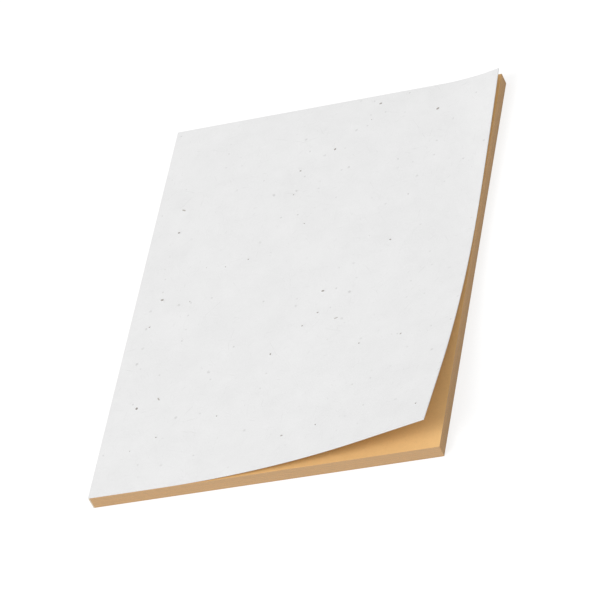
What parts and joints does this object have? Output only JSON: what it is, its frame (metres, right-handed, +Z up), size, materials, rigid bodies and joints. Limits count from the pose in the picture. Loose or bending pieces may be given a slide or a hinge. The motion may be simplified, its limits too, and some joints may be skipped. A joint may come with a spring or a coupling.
{
  "type": "plantable cover notepad",
  "caption": "Glue bound notepad: kraft pages on a card back under a seed paper cover that curls up at one corner and opens along the spine.",
  "frame": {"origin": "centre of the pad's underside, on the surface that it lies on", "axes": "+X from the spine to the fore edge, +Y from the foot to the head, +Z up out of the front cover"},
  "size_m": [0.148, 0.21, 0.0206],
  "materials": {
    "kraft_pages": "uncoated kraft, trimmed edges",
    "kraft_card": "uncoated kraft card",
    "spine_adhesive": "dried padding glue, satin",
    "seed_paper": "handmade seed paper, matt and speckled"
  },
  "bodies": {
    "pad": {"page_block": "kraft_pages", "back_card": "kraft_card", "spine_glue": "spine_adhesive"},
    "cover": {"front_cover": "seed_paper"}
  },
  "joints": [
    {"name": "cover_hinge", "type": "hinge", "parent": "pad", "child": "cover", "pos_m": [-0.074, 0, 0.0056], "axis": [0, -1, 0], "range_deg": [0, 175]}
  ]
}
